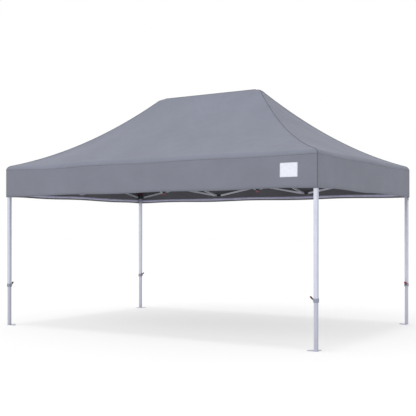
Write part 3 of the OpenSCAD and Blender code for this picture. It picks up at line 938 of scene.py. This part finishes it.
class CANOPY_OT_levers(bpy.types.Operator):
    """Lock levers on the outer legs' collars: a ribbed arm with a red tip on a round boss"""
    bl_idname = "canopy.levers"
    bl_label = "Lock levers"

    def execute(self, context):
        lean = Matrix.Rotation(-LEVER_LEAN, 4, "Y")
        c, s = math.cos(LEVER_LEAN), math.sin(LEVER_LEAN)

        def block(size, run, rise, *rest):
            """A block at run along the arm and rise above its middle plane."""
            add_block(bm, size, (c * run - s * rise, 0, s * run + c * rise), *rest)
        for name in CORNERS:
            bm = bmesh.new()
            add_drum(bm, 0.0052, 0.0216, Matrix.Rotation(math.pi / 2, 4, "X"))
            block((0.0450, 0.0212, 0.0068), 0.0255, 0, 0.0022, lean)
            block((0.0360, 0.0300, 0.0086), 0.0310, 0, 0.0030, lean)
            block((0.0090, 0.0286, 0.0094), 0.0475, 0, 0.0036, lean, 1)
            block((0.0320, 0.0262, 0.0040), 0.0305, -0.0050, 0.0012, lean, 1)
            for k in range(5):  # grip ribs
                block((0.0014, 0.0176, 0.0014), 0.0400 - 0.0036 * k, 0.0045, 0.0005, lean, 0, 1)
            bmesh.ops.transform(bm, matrix=beside_leg(name, LEVER_OUT, LEVER_Z), verts=bm.verts)
            lever = piece("lever_" + name, bm, [material("dark"), material("red")], 40)
            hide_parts("lock_lever_" + name)
            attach(lever, "lock_lever_" + name)
        return {"FINISHED"}


class CANOPY_OT_buttons(bpy.types.Operator):
    """Snap buttons that show in the outer legs' lower holes"""
    bl_idname = "canopy.buttons"
    bl_label = "Snap buttons"

    def execute(self, context):
        radius = context.scene.canopy_frame.button_radius
        for name in CORNERS:
            bm = bmesh.new()
            bmesh.ops.create_uvsphere(bm, u_segments=20, v_segments=12, radius=radius)
            bmesh.ops.scale(bm, vec=(0.62, 1, 1), verts=bm.verts)
            bmesh.ops.transform(bm, matrix=beside_leg(name, BUTTON_OUT, BUTTON_Z), verts=bm.verts)
            button = piece("snap_button_" + name, bm, [material("steel")], 60)
            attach(button, "outer_leg_" + name)
        return {"FINISHED"}


def paint(node, keys, choose=lambda c: 0):
    """Gives a CAD node its finishes, and picks one for each face from the face's middle."""
    mesh = frame["nodes"][node].data
    mesh.materials.clear()
    for key in keys:
        mesh.materials.append(material(key))
    indices = [choose(p.center) for p in mesh.polygons]
    mesh.polygons.foreach_set("material_index", indices)


class CANOPY_OT_frame_finish(bpy.types.Operator):
    """Finishes of the legs, sliders, joints, masts and scissor bars"""
    bl_idname = "canopy.frame_finish"
    bl_label = "Frame finishes"

    def execute(self, context):
        for name in frame["nodes"]:
            if name.startswith("outer_leg_"):
                paint(name, ("outer", "dark", "collar"),
                      lambda c: 1 if c.z > BRACKET_FROM else 2 if COLLAR_FROM < c.z < COLLAR_TO else 0)
            elif name.startswith("inner_leg_"):
                paint(name, ("inner",))
            elif name.startswith("leg_slider_"):
                self.paint_slider(name)
            elif name.startswith("mast_guide") or "_joint_" in name:
                paint(name, ("dark",))
            elif name.startswith("mast_"):
                paint(name, ("mast", "dark", "red"),
                      lambda c: (2 if c.z < MAST_FOOT_TO else
                                 1 if c.z < MAST_HUB_TO or c.z > MAST_PLUG_FROM else 0))
            elif "bar_" in name:
                self.paint_bar(name)
        return {"FINISHED"}

    def paint_slider(self, name):
        """The knobs of the pull pins stand out of the slider, and are red."""
        x = LEG_X if name.endswith("right") else -LEG_X
        y = LEG_Y if "back" in name else -LEG_Y

        def knob(c):
            far = max(abs(c.x - x), abs(c.y - y))
            return 1 if PULL_FROM < c.z < PULL_TO and far > PULL_OUT else 0
        paint(name, ("dark", "red"), knob)

    def paint_bar(self, name):
        """The bar's own faces are coated, and the pins and washers that stand out of it are plated."""
        mesh = frame["nodes"][name].data
        along_y = name.startswith(("left_", "right_", "cross_"))
        across = [(v.co.x if along_y else v.co.y) for v in mesh.vertices]
        # the bar's two broad faces hold most of its points
        counts = {}
        for a in across:
            counts[round(a, 4)] = counts.get(round(a, 4), 0) + 1
        broad = sorted(sorted(counts, key=counts.get)[-2:])

        def pin(c):
            a = c.x if along_y else c.y
            return 1 if a < broad[0] - 0.0001 or a > broad[1] + 0.0001 else 0
        paint(name, ("bar_y" if along_y else "bar_x", "steel"), pin)


# ---------------------------------------------------------------- stage

class CANOPY_OT_stage(bpy.types.Operator):
    """Pale floor, soft light from above and the front, and the camera"""
    bl_idname = "canopy.stage"
    bl_label = "Stage"

    def execute(self, context):
        s = context.scene.canopy_stage
        bm = bmesh.new()
        bmesh.ops.create_grid(bm, x_segments=2, y_segments=2, size=70.0,
                              matrix=Matrix.Translation((0, 0, -0.0006)))
        mesh = bpy.data.meshes.new("floor")
        bm.to_mesh(mesh)
        bm.free()
        colour = tuple(s.floor_colour)
        n = Nodes("Floor paint", colour, 0.85, Specular_IOR_Level=0.1, Emission_Color=(1, 1, 1, 1),
                  Emission_Strength=s.floor_glow)
        mottle = n.noise(n.place(), 0.7, 2.0)
        mesh.materials.append(n.done(n.mix(n.spread(mottle, 0.3, 0.7), darker(colour, 0.995), colour)))
        floor = bpy.data.objects.new("floor", mesh)
        context.scene.collection.objects.link(floor)

        world = bpy.data.worlds.new("Studio")
        world.use_nodes = True
        sky = world.node_tree.nodes["Background"]
        sky.inputs["Color"].default_value = (1, 1, 1, 1)
        sky.inputs["Strength"].default_value = s.fill_strength
        context.scene.world = world

        for name, energy, spread, toward in (
                ("Above", s.key_strength, 12, (0.03, 0.05, -1)),
                ("Front", s.front_strength, 70, (0.35, 0.78, -0.50)),
                ("Side", s.side_strength, 20, (-0.95, 0.28, -0.10))):
            sun = bpy.data.lights.new(name, "SUN")
            sun.energy = energy
            sun.angle = math.radians(spread)
            lamp = bpy.data.objects.new(name, sun)
            lamp.rotation_euler = Vector(toward).to_track_quat("-Z", "Y").to_euler()
            context.scene.collection.objects.link(lamp)

        cam = bpy.data.cameras.new("Camera")
        cam.lens, cam.sensor_width = 70.225, 36.0
        cam.shift_x, cam.shift_y = 0.00574, 0.05345
        cam.clip_end = 300
        holder = bpy.data.objects.new("Camera", cam)
        holder.location = (5.8724, -9.3950, 1.2868)
        holder.rotation_euler = (math.radians(90), 0, math.radians(32.231))
        context.scene.collection.objects.link(holder)
        context.scene.camera = holder
        context.scene.view_settings.view_transform = "Standard"
        context.scene.view_settings.look = "None"
        return {"FINISHED"}


class CANOPY_PT_panel(bpy.types.Panel):
    """Steps and settings of the canopy"""
    bl_idname = "CANOPY_PT_panel"
    bl_label = "Folding canopy"
    bl_space_type = "VIEW_3D"
    bl_region_type = "UI"
    bl_category = "Canopy"

    def draw(self, context):
        scene = context.scene
        for title, group in (("Cover", scene.canopy_cover), ("Frame", scene.canopy_frame),
                             ("Stage", scene.canopy_stage)):
            self.layout.label(text=title)
            for key in group.__annotations__:
                self.layout.prop(group, key)
        for operator in OPERATORS:
            self.layout.operator(operator.bl_idname)


OPERATORS = (CANOPY_OT_stage, CANOPY_OT_roof, CANOPY_OT_valance, CANOPY_OT_hem_tape, CANOPY_OT_seams,
             CANOPY_OT_patch, CANOPY_OT_strap, CANOPY_OT_levers, CANOPY_OT_buttons, CANOPY_OT_frame_finish)
GROUPS = (CoverSettings, FrameSettings, StageSettings)


def register():
    for c in (*GROUPS, *OPERATORS, CANOPY_PT_panel):
        bpy.utils.register_class(c)
    bpy.types.Scene.canopy_cover = bpy.props.PointerProperty(type=CoverSettings)
    bpy.types.Scene.canopy_frame = bpy.props.PointerProperty(type=FrameSettings)
    bpy.types.Scene.canopy_stage = bpy.props.PointerProperty(type=StageSettings)


def unregister():
    del bpy.types.Scene.canopy_cover, bpy.types.Scene.canopy_frame, bpy.types.Scene.canopy_stage
    for c in reversed((*GROUPS, *OPERATORS, CANOPY_PT_panel)):
        bpy.utils.unregister_class(c)


def main():
    register()
    for operator in OPERATORS:
        group, name = operator.bl_idname.split(".")
        getattr(getattr(bpy.ops, group), name)()


if __name__ == "__main__":
    main()
